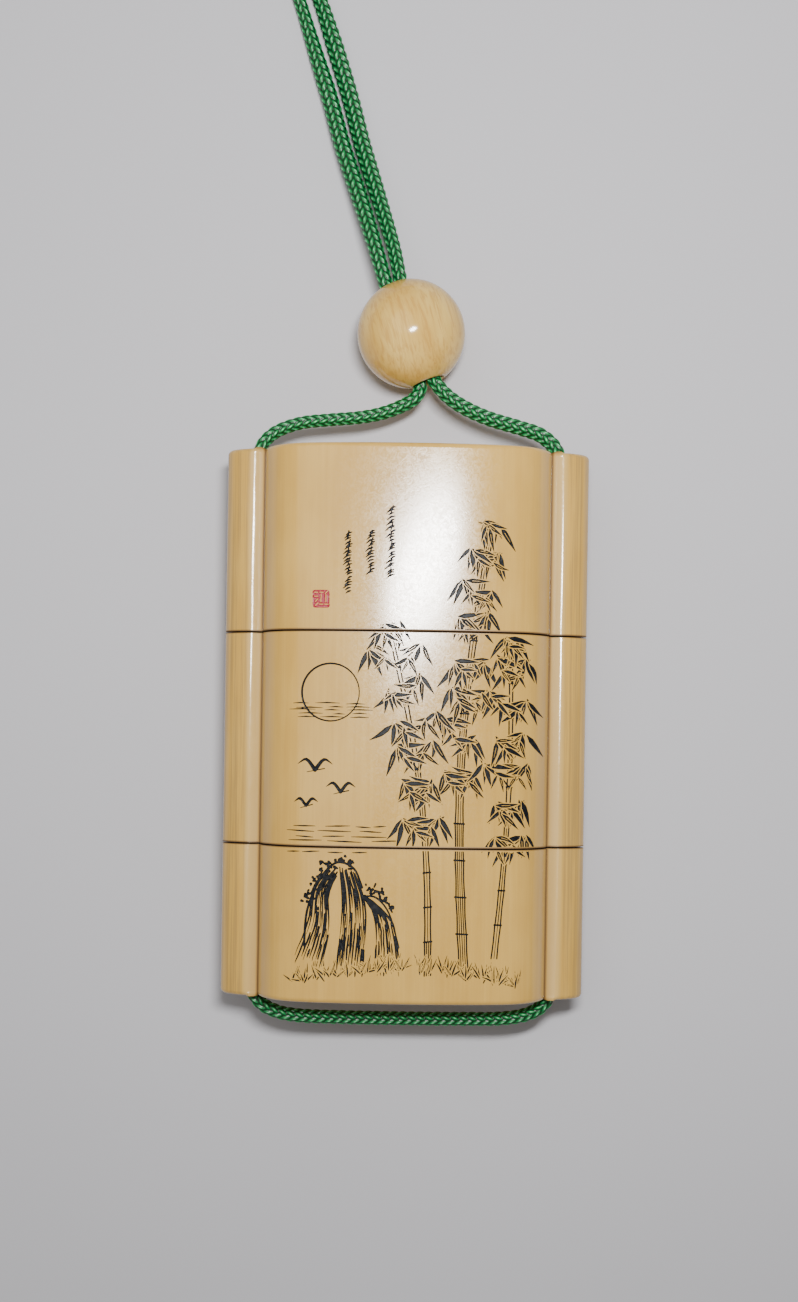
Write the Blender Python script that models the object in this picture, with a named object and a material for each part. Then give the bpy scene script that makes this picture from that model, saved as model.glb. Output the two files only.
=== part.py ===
"""Inro: a small case of three stacked sections on a cord, lying on its back.

Metres. +Z leaves the front of the case, +Y points at the lid and the bead, and the origin
is on the flat of the back, at the middle of the case's length and width.
"""

import math

import bmesh
import bpy
from mathutils import Matrix, Vector

MM = 0.001

# Case, outside
CASE_WIDTH = 52.0 * MM
CASE_DEPTH = 21.0 * MM
PANEL_ARC = 1.9 * MM
SHOULDER = 4.0 * MM
SHOULDER_POWER = 9
BACK_FLAT = 10.0 * MM
RUNNER_WIDTH = 5.8 * MM
RUNNER_CREST = 1.9 * MM
CREST_LIFT = 0.5 * MM
CREST_SHARPNESS = 1.5
GROOVE_STEP = 1.7 * MM
GROOVE_SLANT = 0.3 * MM
END_ROUND = 0.7 * MM

# Case, along its length
LID_LENGTH = 26.0 * MM
MIDDLE_LENGTH = 29.8 * MM
LOWER_LENGTH = 21.6 * MM
SEAM = 0.3 * MM

# Case, inside
WALL = 1.9 * MM
CAVITY_CORNER = 2.0 * MM
END_WALL = 2.2 * MM
MIDDLE_FLOOR = 1.8 * MM
RISER_HEIGHT = 6.0 * MM
RISER_WALL = 0.9 * MM
RISER_GAP = 0.3 * MM
RISER_END_GAP = 0.7 * MM

# Cord and its bores in the runners
CORD = 2.2 * MM
CORD_GAP = 0.3 * MM
RUNNER_PLAY = 0.5 * MM
RUNNER_INSET = 4.4 * MM
RUNNER_WALL = 2.0 * MM
RUNNER_FLARE = 0.6 * MM

# Bead
BEAD = 15.7 * MM
BEAD_PLAY = 0.4 * MM
BEAD_LIP = 1.1 * MM
BEAD_LIFT = 0.15 * MM
BEAD_ASIDE = 0.1 * MM
BEAD_AWAY = 17.8 * MM
BEAD_TURN = math.radians(20.5)

# Coil of the spare cord and the knot of its two ends
CORD_LIFT = 0.05 * MM
COIL_ASIDE = -6.7 * MM
COIL_AWAY = 85.0 * MM
COIL_ACROSS = 24.0 * MM
TURN_PITCH = 2.3 * MM
KNOT = 6.0 * MM
KNOT_HEIGHT = 4.4 * MM

# Fineness of the round shapes
PANEL_STEPS = 18
PANEL_CROWDING = 0.6
RUNNER_STEPS = 6
CORNER_STEPS = 4
ROUND_STEPS = 3
BORE_SIDES = 16
BEAD_SIDES = 32
BEAD_RINGS = 14
COIL_SIDES = 40
CORD_STEP = 3 * CORD
CORD_BEND_STEP = math.radians(20)
SMOOTH_BELOW = math.radians(35)

# How far a cutting tool runs past what it cuts
OVERSHOOT = 2.0 * MM

# Sizes that follow from those above
PANEL_WIDTH = CASE_WIDTH - 2 * RUNNER_WIDTH
RUNNER_BORE = CORD + 2 * RUNNER_PLAY
RUNNER_SPACING = CASE_WIDTH - 2 * RUNNER_INSET
CAVITY_WIDTH = RUNNER_SPACING - RUNNER_BORE - 2 * RUNNER_WALL
BEAD_BORE = 2 * CORD + CORD_GAP + 2 * BEAD_PLAY
CASE_LENGTH = LID_LENGTH + MIDDLE_LENGTH + LOWER_LENGTH + 2 * SEAM
CASE_TOP = CASE_LENGTH / 2
CASE_BOTTOM = -CASE_LENGTH / 2
LID_BOTTOM = CASE_TOP - LID_LENGTH
MIDDLE_TOP = LID_BOTTOM - SEAM
MIDDLE_BOTTOM = MIDDLE_TOP - MIDDLE_LENGTH
LOWER_TOP = MIDDLE_BOTTOM - SEAM
BEAD_CENTRE = Vector((BEAD_ASIDE, CASE_TOP + BEAD_AWAY, BEAD / 2 + BEAD_LIFT))
COIL_CENTRE = Vector((COIL_ASIDE, CASE_TOP + COIL_AWAY, CORD / 2 + CORD_LIFT))

# The cord's free stretches, in millimetres: x from the middle of the case, y beyond its
# top, z over the surface that it lies on
LEFT_BRIDLE = [
    (-20.9, 1.8, 10.0), (-19.2, 3.1, 9.7), (-15.8, 4.35, 9.3), (-11.5, 4.95, 9.0), (-7.2, 5.4, 8.8),
    (-4.3, 6.2, 8.6), (-1.4, 7.45, 8.4), (0.05, 8.85, 8.2), (1.0, 10.4, 8.05),
]
LEFT_STRAND = [
    (-5.25, 30.4, 6.8), (-7.7, 38.3, 4.4), (-10.4, 46.5, 2.5), (-12.5, 54.0, 1.5), (-14.5, 60.2, 1.2),
    (-17.3, 69.0, 1.15), (-18.8, 73.3, 1.15), (-19.15, 75.3, 1.15),
]
RIGHT_BRIDLE = [
    (21.0, 1.7, 10.0), (18.9, 3.0, 9.9), (16.0, 4.1, 9.5), (11.7, 5.4, 9.0), (8.8, 6.5, 8.7),
    (6.4, 7.8, 8.4), (4.95, 9.5, 8.2),
]
RIGHT_STRAND = [
    (-2.6, 30.4, 6.8), (-4.9, 38.3, 4.4), (-7.4, 46.5, 2.5), (-9.4, 54.0, 1.5), (-11.3, 60.2, 1.2),
    (-13.7, 67.5, 1.15), (-15.2, 71.7, 1.15),
]

# The cord's turn under the base, in millimetres: in from the runner, below the base, and
# down from the runner's height
BASE_CORNER = [
    (0.0, -1.2, 0.0), (0.45, 0.2, 0.0), (1.7, 1.7, 0.1), (3.7, 2.7, 0.3), (6.6, 3.25, 0.5), (13.0, 3.5, 0.9),
]


def panel_drop(x):
    """How far the front, or the back, has fallen at x: a gentle arc, then a round shoulder."""
    share = abs(x) / (PANEL_WIDTH / 2)
    return PANEL_ARC * share**2 + SHOULDER * share**SHOULDER_POWER


def panel_slope(x):
    share = abs(x) / (PANEL_WIDTH / 2)
    rate = 2 * PANEL_ARC * share + SHOULDER_POWER * SHOULDER * share ** (SHOULDER_POWER - 1)
    return rate / (PANEL_WIDTH / 2)


def panel_places(reach):
    """Distances from the middle out to reach, closer together where the panel bends more."""
    count = PANEL_STEPS // 2
    return [reach * (step / count) ** PANEL_CROWDING for step in range(count + 1)]


def rest_height():
    """Height of the case's middle plane over the surface that the flat back rests on."""
    return CASE_DEPTH / 2 - panel_drop(BACK_FLAT / 2)


MIDDLE_HEIGHT = rest_height()


def front_quarter():
    """Right front quarter of the case's outline, from the panel's middle to the side."""
    half = PANEL_WIDTH / 2
    points = [(x, CASE_DEPTH / 2 - panel_drop(x)) for x in panel_places(half)]
    edge = points[-1][1]
    crest_height = edge - GROOVE_STEP + CREST_LIFT
    crest_x = half + RUNNER_CREST
    points.append((half + GROOVE_SLANT, edge - GROOVE_STEP))
    points.append((half + (GROOVE_SLANT + RUNNER_CREST) / 2, crest_height - CREST_LIFT / 4))
    side = CASE_WIDTH / 2 - crest_x
    for step in range(RUNNER_STEPS + 1):
        turn = math.pi / 2 * step / RUNNER_STEPS
        out = side * math.sin(turn) ** CREST_SHARPNESS
        points.append((crest_x + out, crest_height * math.cos(turn)))
    return points


def case_outline():
    """Whole outline of the case, anticlockwise seen from the lid's end, back flattened."""
    quarter = front_quarter()
    front = [(-x, h) for x, h in reversed(quarter[1:])] + quarter
    clear = BACK_FLAT / 2 + PANEL_WIDTH / PANEL_STEPS / 4
    back = [(x, -h) for x, h in reversed(front[1:-1]) if abs(x) > clear]
    right = [point for point in back if point[0] > 0]
    left = [point for point in back if point[0] < 0]
    return front + right + [(BACK_FLAT / 2, -MIDDLE_HEIGHT), (-BACK_FLAT / 2, -MIDDLE_HEIGHT)] + left


def cavity_outline(inset):
    """Outline of the room inside: the panels' curves under their walls, and round corners.

    inset takes that much off all round.
    """
    wall = WALL + inset
    round_off = max(CAVITY_CORNER - inset, CAVITY_CORNER / 4)
    corner_x = CAVITY_WIDTH / 2 - inset - round_off
    quarter = []
    for x in panel_places(corner_x):
        through = wall * math.hypot(1.0, panel_slope(x))
        quarter.append((x, CASE_DEPTH / 2 - panel_drop(x) - through))
    slope = math.atan(panel_slope(corner_x))
    corner_height = quarter[-1][1] - round_off * math.cos(slope)
    for step in range(1, CORNER_STEPS + 1):
        turn = slope + (math.pi / 2 - slope) * step / CORNER_STEPS
        quarter.append((corner_x + round_off * math.sin(turn), corner_height + round_off * math.cos(turn)))
    front = [(-x, h) for x, h in reversed(quarter[1:])] + quarter
    return front + [(x, -h) for x, h in reversed(front)]


def inward(outline, distance):
    """The outline moved inwards by a distance, along the mean of its edges' directions."""
    centre = Vector((0.0, 0.0))
    moved = []
    count = len(outline)
    for index in range(count):
        before = Vector(outline[index - 1])
        here = Vector(outline[index])
        after = Vector(outline[(index + 1) % count])
        along = (here - before).normalized() + (after - here).normalized()
        normal = Vector((along.y, -along.x)).normalized()
        if normal.dot(centre - here) < 0:
            normal.negate()
        moved.append(tuple(here + normal * distance))
    return moved


def material(name, colour, roughness):
    made = bpy.data.materials.new(name)
    made.use_nodes = True
    shader = made.node_tree.nodes["Principled BSDF"]
    shader.inputs["Base Color"].default_value = (*colour, 1.0)
    shader.inputs["Roughness"].default_value = roughness
    shader.inputs["Metallic"].default_value = 0.0
    return made


def finish(obj, look, smooth=True):
    """Give the object its material, and shade its round faces smooth."""
    obj.data.materials.append(look)
    if smooth:
        obj.data.shade_smooth()
        obj.data.set_sharp_from_angle(angle=SMOOTH_BELOW)
    return obj


def loft(name, rings):
    """Closed solid through rings of the same number of points, with flat ends."""
    mesh = bmesh.new()
    rows = []
    for ring in rings:
        rows.append([mesh.verts.new(point) for point in ring])
    count = len(rows[0])
    for low, high in zip(rows, rows[1:]):
        for index in range(count):
            after = (index + 1) % count
            mesh.faces.new((low[index], low[after], high[after], high[index]))
    mesh.faces.new(rows[0])
    mesh.faces.new(rows[-1])
    bmesh.ops.recalc_face_normals(mesh, faces=mesh.faces)
    data = bpy.data.meshes.new(name)
    mesh.to_mesh(data)
    mesh.free()
    obj = bpy.data.objects.new(name, data)
    bpy.context.collection.objects.link(obj)
    return obj


def ring_at(outline, y):
    return [(x, y, MIDDLE_HEIGHT + h) for x, h in outline]


def prism(name, outline, low, high, round_low=False, round_high=False):
    """Length of an outline from y = low to y = high, with rounded ends where asked."""
    rings = []
    if round_low:
        for step in range(ROUND_STEPS):
            turn = math.pi / 2 * step / ROUND_STEPS
            inset = inward(outline, END_ROUND * (1 - math.sin(turn)))
            rings.append(ring_at(inset, low + END_ROUND * (1 - math.cos(turn))))
        rings.append(ring_at(outline, low + END_ROUND))
    else:
        rings.append(ring_at(outline, low))
    if round_high:
        rings.append(ring_at(outline, high - END_ROUND))
        for step in reversed(range(ROUND_STEPS)):
            turn = math.pi / 2 * step / ROUND_STEPS
            inset = inward(outline, END_ROUND * (1 - math.sin(turn)))
            rings.append(ring_at(inset, high - END_ROUND * (1 - math.cos(turn))))
    else:
        rings.append(ring_at(outline, high))
    return loft(name, rings)


def apply_boolean(obj, other, operation):
    """Cut or join the object with another one, which goes."""
    step = obj.modifiers.new(operation.lower(), "BOOLEAN")
    step.object = other
    step.operation = operation
    step.solver = "EXACT"
    graph = bpy.context.evaluated_depsgraph_get()
    result = bpy.data.meshes.new_from_object(obj.evaluated_get(graph))
    obj.modifiers.clear()
    obj.data = result
    bpy.data.objects.remove(other)
    return obj


def runner_cutter(side, low, high, flare_low=False, flare_high=False):
    """Tool for the cord's bore in one runner, with a flare at an open end."""
    x = side * RUNNER_SPACING / 2
    bore = RUNNER_BORE / 2
    stations = []
    if flare_low:
        stations += [(low - RUNNER_FLARE, bore + 2 * RUNNER_FLARE), (low + RUNNER_FLARE, bore)]
    else:
        stations.append((low - OVERSHOOT, bore))
    if flare_high:
        stations += [(high - RUNNER_FLARE, bore), (high + RUNNER_FLARE, bore + 2 * RUNNER_FLARE)]
    else:
        stations.append((high + OVERSHOOT, bore))
    rings = []
    for y, radius in stations:
        ring = []
        for index in range(BORE_SIDES):
            turn = 2 * math.pi * index / BORE_SIDES
            ring.append((x + radius * math.cos(turn), y, MIDDLE_HEIGHT + radius * math.sin(turn)))
        rings.append(ring)
    return loft("runner_cutter", rings)


def bore_runners(section, low, high, **flares):
    for side in (-1, 1):
        apply_boolean(section, runner_cutter(side, low, high, **flares), "DIFFERENCE")


def add_riser(section, top):
    """Thin wall that stands out of a section's top and holds the section above it."""
    riser = prism("riser", cavity_outline(RISER_GAP), top - OVERSHOOT, top + RISER_HEIGHT)
    apply_boolean(section, riser, "UNION")


def make_lid(look):
    lid = prism("lid", case_outline(), LID_BOTTOM, CASE_TOP, round_high=True)
    room = prism("room", cavity_outline(0.0), LID_BOTTOM - OVERSHOOT, CASE_TOP - END_WALL)
    apply_boolean(lid, room, "DIFFERENCE")
    bore_runners(lid, LID_BOTTOM, CASE_TOP, flare_high=True)
    return finish(lid, look)


def make_middle(look):
    middle = prism("middle_case", case_outline(), MIDDLE_BOTTOM, MIDDLE_TOP)
    add_riser(middle, MIDDLE_TOP)
    ceiling = MIDDLE_BOTTOM + RISER_HEIGHT - SEAM + RISER_END_GAP
    socket = prism("socket", cavity_outline(0.0), MIDDLE_BOTTOM - OVERSHOOT, ceiling)
    apply_boolean(middle, socket, "DIFFERENCE")
    room = prism(
        "room",
        cavity_outline(RISER_GAP + RISER_WALL),
        ceiling + MIDDLE_FLOOR,
        MIDDLE_TOP + RISER_HEIGHT + OVERSHOOT,
    )
    apply_boolean(middle, room, "DIFFERENCE")
    bore_runners(middle, MIDDLE_BOTTOM, MIDDLE_TOP)
    return finish(middle, look)


def make_lower(look):
    lower = prism("lower_case", case_outline(), CASE_BOTTOM, LOWER_TOP, round_low=True)
    add_riser(lower, LOWER_TOP)
    room = prism(
        "room",
        cavity_outline(RISER_GAP + RISER_WALL),
        CASE_BOTTOM + END_WALL,
        LOWER_TOP + RISER_HEIGHT + OVERSHOOT,
    )
    apply_boolean(lower, room, "DIFFERENCE")
    bore_runners(lower, CASE_BOTTOM, LOWER_TOP, flare_low=True)
    return finish(lower, look)


def bead_axes():
    """The bead's bore direction, away from the case, and the direction across its cords."""
    bore = Vector((-math.sin(BEAD_TURN), math.cos(BEAD_TURN), 0.0))
    across = Vector((math.cos(BEAD_TURN), math.sin(BEAD_TURN), 0.0))
    return bore, across


def turned(name, profile, sides):
    """Solid turned about Z from a closed profile of (radius, height) points."""
    mesh = bmesh.new()
    verts = [mesh.verts.new((radius, 0.0, height)) for radius, height in profile]
    edges = []
    for index in range(len(verts)):
        edges.append(mesh.edges.new((verts[index - 1], verts[index])))
    bmesh.ops.spin(
        mesh, geom=verts + edges, cent=(0, 0, 0), axis=(0, 0, 1), angle=2 * math.pi, steps=sides,
        use_merge=True,
    )
    bmesh.ops.recalc_face_normals(mesh, faces=mesh.faces)
    data = bpy.data.meshes.new(name)
    mesh.to_mesh(data)
    mesh.free()
    obj = bpy.data.objects.new(name, data)
    bpy.context.collection.objects.link(obj)
    return obj


def make_bead(look):
    """Ball with a bore for the doubled cord and softened mouths."""
    ball = BEAD / 2
    bore = BEAD_BORE / 2
    mouth = bore + BEAD_LIP
    reach = math.acos(mouth / ball)
    profile = []
    for step in range(BEAD_RINGS + 1):
        turn = -reach + 2 * reach * step / BEAD_RINGS
        profile.append((ball * math.cos(turn), ball * math.sin(turn)))
    lip = ball * math.sin(reach)
    profile.append((bore + BEAD_LIP / 3, lip - BEAD_LIP / 5))
    profile.append((bore, lip - BEAD_LIP))
    profile.append((bore, -lip + BEAD_LIP))
    profile.append((bore + BEAD_LIP / 3, -lip + BEAD_LIP / 5))
    bead = turned("ojime_bead", profile, BEAD_SIDES)
    direction, across = bead_axes()
    frame = Matrix((across, direction.cross(across), direction)).transposed()
    bead.matrix_world = Matrix.Translation(BEAD_CENTRE) @ frame.to_4x4()
    return finish(bead, look)


def smooth_line(points):
    """Points along a smooth curve through the route's own points, closer where it bends."""
    route = [Vector(point) for point in points]
    route = [2 * route[0] - route[1]] + route + [2 * route[-1] - route[-2]]
    dense = []
    for index in range(1, len(route) - 2):
        dense += curve_span(*route[index - 1:index + 3])
    dense.append(route[-2])
    kept = [dense[0]]
    heading = dense[1] - dense[0]
    travelled = 0.0
    for before, here in zip(dense, dense[1:]):
        travelled += (here - before).length
        bent = heading.angle(here - before) > CORD_BEND_STEP and travelled > CORD
        if bent or travelled > CORD_STEP:
            kept.append(here)
            heading = here - before
            travelled = 0.0
    if travelled < CORD / 2:
        kept.pop()
    kept.append(dense[-1])
    return kept


def curve_span(before, start, end, after, steps=24):
    """One stretch of a centripetal Catmull-Rom curve, from start up to end."""
    t0 = 0.0
    t1 = t0 + (start - before).length ** 0.5
    t2 = t1 + (end - start).length ** 0.5
    t3 = t2 + (after - end).length ** 0.5
    points = []
    for step in range(steps):
        t = t1 + (t2 - t1) * step / steps
        a1 = before.lerp(start, (t - t0) / (t1 - t0))
        a2 = start.lerp(end, (t - t1) / (t2 - t1))
        a3 = end.lerp(after, (t - t2) / (t3 - t2))
        b1 = a1.lerp(a2, (t - t0) / (t2 - t0))
        b2 = a2.lerp(a3, (t - t1) / (t3 - t1))
        points.append(b1.lerp(b2, (t - t1) / (t2 - t1)))
    return points


def cord_tube(name, route, look):
    """Round cord along a route."""
    line = smooth_line(route)
    curve = bpy.data.curves.new(name, "CURVE")
    curve.dimensions = "3D"
    curve.bevel_depth = CORD / 2
    curve.bevel_resolution = 2
    curve.use_fill_caps = True
    spline = curve.splines.new("POLY")
    spline.points.add(len(line) - 1)
    for point, place in zip(spline.points, line):
        point.co = (*place, 1.0)
    curve.materials.append(look)
    obj = bpy.data.objects.new(name, curve)
    bpy.context.collection.objects.link(obj)
    return obj


def strand_route(side, bridle, strand):
    """Route of one strand, from its runner's mouth through the bead to the coil."""
    bore, across = bead_axes()
    runner = side * RUNNER_SPACING / 2
    route = [
        Vector((runner, CASE_TOP - RUNNER_FLARE - RUNNER_PLAY, MIDDLE_HEIGHT)),
        Vector((runner - side * CORD_LIFT, CASE_TOP + CORD_GAP, MIDDLE_HEIGHT)),
    ]
    route += [Vector((0.0, CASE_TOP, 0.0)) + Vector(point) * MM for point in bridle]
    beside = BEAD_CENTRE + across * side * (CORD + CORD_GAP) / 2
    for share in (-0.34, -0.1, 0.15, 0.45):
        route.append(beside + bore * BEAD * share)
    route += [Vector((0.0, CASE_TOP, 0.0)) + Vector(point) * MM for point in strand]
    return route


def lacing_route():
    """Route of the held stretch: down one runner, across under the base and up the other."""
    runner = RUNNER_SPACING / 2
    start = CASE_TOP - RUNNER_FLARE - RUNNER_PLAY - 2 * CORD_GAP
    down = [Vector((runner, start * share, MIDDLE_HEIGHT)) for share in (1.0, 0.5, 0.0, -0.5)]
    for inward_by, below, lower_by in BASE_CORNER:
        corner = Vector((-inward_by, -below, -lower_by)) * MM
        down.append(Vector((runner, CASE_BOTTOM, MIDDLE_HEIGHT)) + corner)
    return [Vector((-x, y, z)) for x, y, z in down] + list(reversed(down))


def make_coil(look):
    """Outer shape of the flat coil, one turn of the doubled cord, that the spare is wound into."""
    outer = COIL_ACROSS / 2 + TURN_PITCH
    inner = COIL_ACROSS / 2 - TURN_PITCH
    half = CORD / 2
    edge = CORD / 4
    profile = [(outer, -edge), (outer, edge), (outer - edge, half), (inner + edge, half),
               (inner, edge), (inner, -edge), (inner + edge, -half), (outer - edge, -half)]
    coil = turned("cord_coil", profile, COIL_SIDES)
    coil.location = COIL_CENTRE
    return finish(coil, look)


def make_knot(look):
    """Flattened ball of the knot that joins the cord's two ends inside the coil."""
    mesh = bmesh.new()
    bmesh.ops.create_uvsphere(mesh, u_segments=16, v_segments=10, radius=0.5)
    bmesh.ops.scale(mesh, vec=(KNOT, KNOT, KNOT_HEIGHT), verts=mesh.verts)
    data = bpy.data.meshes.new("cord_knot")
    mesh.to_mesh(data)
    mesh.free()
    knot = bpy.data.objects.new("cord_knot", data)
    bpy.context.collection.objects.link(knot)
    knot.location = (COIL_CENTRE.x, COIL_CENTRE.y, KNOT_HEIGHT / 2 + CORD_LIFT)
    return finish(knot, look)


def build():
    for obj in list(bpy.data.objects):
        bpy.data.objects.remove(obj)
    bone = material("bone", (0.60, 0.44, 0.25), 0.3)
    cord = material("green_cord", (0.01, 0.17, 0.055), 0.5)
    make_lid(bone)
    make_middle(bone)
    make_lower(bone)
    make_bead(bone)
    cord_tube("cord_left", strand_route(-1, LEFT_BRIDLE, LEFT_STRAND), cord)
    cord_tube("cord_right", strand_route(1, RIGHT_BRIDLE, RIGHT_STRAND), cord)
    cord_tube("cord_lacing", lacing_route(), cord)
    make_coil(cord)
    make_knot(cord)


build()
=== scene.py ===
"""Looks of the inro: three engraved and inked sections, a polished bead and a braided cord.

Metres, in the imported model's frame: +Z leaves the front of the case, +Y points at the lid.
The drawing on the front is worked out in millimetres, x across and y along the case.
"""

import random
from math import acos, atan, atan2, copysign, cos, hypot, pi, radians, sin

import bmesh
import bpy
import numpy as np
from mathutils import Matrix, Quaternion, Vector
from mathutils.geometry import delaunay_2d_cdt


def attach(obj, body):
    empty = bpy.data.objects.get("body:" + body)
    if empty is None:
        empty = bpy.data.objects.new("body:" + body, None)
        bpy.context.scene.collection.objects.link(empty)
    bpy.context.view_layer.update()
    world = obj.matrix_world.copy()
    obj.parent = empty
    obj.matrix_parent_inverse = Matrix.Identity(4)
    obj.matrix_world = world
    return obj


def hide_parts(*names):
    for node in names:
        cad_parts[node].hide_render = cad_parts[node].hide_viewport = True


MM = 0.001

# Case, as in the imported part
CASE_WIDTH = 52.0 * MM
CASE_DEPTH = 21.0 * MM
PANEL_ARC = 1.9 * MM
SHOULDER = 4.0 * MM
SHOULDER_POWER = 9
BACK_FLAT = 10.0 * MM
RUNNER_WIDTH = 5.8 * MM
RUNNER_CREST = 1.9 * MM
CREST_LIFT = 0.5 * MM
CREST_SHARPNESS = 1.5
GROOVE_STEP = 1.7 * MM
GROOVE_SLANT = 0.3 * MM
END_ROUND = 0.7 * MM
LID_LENGTH = 26.0 * MM
MIDDLE_LENGTH = 29.8 * MM
LOWER_LENGTH = 21.6 * MM
SEAM = 0.3 * MM
WALL = 1.9 * MM
CAVITY_CORNER = 2.0 * MM
END_WALL = 2.2 * MM
MIDDLE_FLOOR = 1.8 * MM
RISER_HEIGHT = 6.0 * MM
RISER_WALL = 0.9 * MM
RISER_GAP = 0.3 * MM
RISER_END_GAP = 0.7 * MM
RUNNER_PLAY = 0.5 * MM
RUNNER_INSET = 4.4 * MM
RUNNER_WALL = 2.0 * MM
RUNNER_FLARE = 0.6 * MM

# Cord and bead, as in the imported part
CORD = 2.2 * MM
CORD_GAP = 0.3 * MM
BEAD = 15.7 * MM
MOUTH = 4.5 * MM
MOUTH_LIP = 0.3 * MM
BEAD_LIFT = 0.15 * MM
BEAD_ASIDE = 0.1 * MM
BEAD_AWAY = 17.8 * MM
BEAD_TURN = radians(20.5)
CORD_LIFT = 0.05 * MM
MOUTH_LEAN = 0.2 * MM
COIL_ASIDE = -6.7 * MM
COIL_AWAY = 85.0 * MM
COIL_ACROSS = 24.0 * MM
TURN_PITCH = 2.3 * MM
TURN_STEP = radians(17)
TURN_STEPS = 31
INWARD_FROM = radians(220)
INWARD_RATE = 2.5 * MM
KNOT = 6.0 * MM
KNOT_HEIGHT = 4.4 * MM
KNOT_POINTS = 240

# How thick the cord looks against its stated width, and where that changes along a strand, in mm
LEFT_SNUG = 0.88
RIGHT_SNUG = 1.02
HELD = 0.94
EASED = 1.02
SLACK = 1.24
THICK_AT = (0, 18, 24, 37, 44, 58, 77, 88)

# Routes in millimetres. The bead's has the share of its length, then how far the two strands
# are apart, how far one lies over the other, and how far both lie to the left.
BEAD_RUN = [(-0.38, 1.74, 1.2, 0.3), (-0.1, 1.9, 0.8, 0.1), (0.15, 2.1, 0.3, 0), (0.45, 2.15, 0, 0)]
LEFT_BRIDLE = [
    (-20.75, 1.6, 10.05), (-19.1, 3.05, 9.7), (-15.8, 4.35, 9.3), (-11.5, 4.95, 9.0), (-7.2, 5.4, 8.8),
    (-4.0, 6.1, 8.5), (-1.3, 7.2, 8.1), (0.75, 8.5, 7.7), (1.55, 10.1, 7.45),
]
LEFT_STRAND = [
    (-5.25, 30.4, 6.8), (-7.7, 38.3, 4.4), (-10.4, 46.5, 2.5), (-12.5, 54.0, 1.5), (-14.5, 60.2, 1.2),
    (-17.3, 69.0, 1.15), (-18.8, 73.3, 1.15), (-19.15, 75.3, 1.15),
]
RIGHT_BRIDLE = [
    (20.75, 1.55, 10.05), (18.9, 3.05, 9.9), (16.0, 4.1, 9.5), (11.7, 5.4, 9.1), (8.8, 6.6, 8.95),
    (6.4, 8.0, 8.8), (4.5, 9.7, 8.65),
]
RIGHT_STRAND = [
    (-2.6, 30.4, 6.8), (-4.9, 38.3, 4.4), (-7.4, 46.5, 2.5), (-9.4, 54.0, 1.5), (-11.3, 60.2, 1.2),
    (-13.7, 67.5, 1.15), (-15.2, 71.7, 1.15),
]
BASE_CORNER = [
    (0.0, -1.2, 0.0), (0.45, 0.2, 0.0), (1.7, 1.7, 0.1), (3.7, 2.7, 0.3), (6.6, 3.25, 0.5),
    (13.0, 3.5, 0.9),
]

# Fineness of this model's round shapes, and the small chamfer that wear leaves on an edge
PANEL_STEPS = 56
PANEL_CROWDING = 0.7
RUNNER_STEPS = 16
CORNER_STEPS = 7
ROUND_STEPS = 5
BORE_SIDES = 32
SPAN_STEPS = 24
BEAD_SIDES = 96
BEAD_RINGS = 48
SMOOTH_BELOW = radians(35)
LAND_PLACES = (0.4, 0.8)
LAND_BULGE = 0.05 * MM
EDGE_WEAR = 0.05 * MM
SEAM_CLOSED = 0.09 * MM
OVERSHOOT = 2.0 * MM
ON_PANEL = 2e-6

# Braid of the cord
BRAID_STEP = 0.15 * MM
BRAID_SIDES = 48
BRAID_ROWS = 8
BRAID_LENGTH = 1.25 * MM
BRAID_DEPTH = 0.24
STITCH_LEAN = 0.8
STITCH_SHIFT = 0.25
STITCH_ENDS = 0.8
STITCH_SIDES = 0.45

# Engraving, and the painted shade along the grooves, in millimetres
DRAW_STEP = 0.05
CUT_DEPTH = 0.07
CUT_SLOPE = 0.8
EDGE_MARGIN = 0.16
LINE_SLACK = 0.009
LONGEST_CHORD = 1.2
DEEP_BLOCK = 3
DEEP_FROM = 0.05
GROUND_ACROSS = 0.6
GROUND_ALONG = 0.9
GROUND_CLEAR = 0.12
SEAL_LOW = (-13.1, 15.9)
SEAL_HIGH = (-10.7, 18.6)
SEAL_INSET = 0.35
GROOVE_AT = 20.4
UP = pi / 2

# Sizes that follow from those above
PANEL_WIDTH = CASE_WIDTH - 2 * RUNNER_WIDTH
RUNNER_BORE = CORD + 2 * RUNNER_PLAY
RUNNER_SPACING = CASE_WIDTH - 2 * RUNNER_INSET
CAVITY_WIDTH = RUNNER_SPACING - RUNNER_BORE - 2 * RUNNER_WALL
CASE_LENGTH = LID_LENGTH + MIDDLE_LENGTH + LOWER_LENGTH + 2 * SEAM
CASE_TOP = CASE_LENGTH / 2
CASE_BOTTOM = -CASE_LENGTH / 2
LID_BOTTOM = CASE_TOP - LID_LENGTH
MIDDLE_TOP = LID_BOTTOM - SEAM
MIDDLE_BOTTOM = MIDDLE_TOP - MIDDLE_LENGTH
LOWER_TOP = MIDDLE_BOTTOM - SEAM
PANEL_HALF_MM = PANEL_WIDTH / MM / 2
CASE_BOTTOM_MM = CASE_BOTTOM / MM
BEAD_CENTRE = Vector((BEAD_ASIDE, CASE_TOP + BEAD_AWAY, BEAD / 2 + BEAD_LIFT))
COIL_CENTRE = Vector((COIL_ASIDE, CASE_TOP + COIL_AWAY, CORD / 2 + CORD_LIFT))

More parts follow.
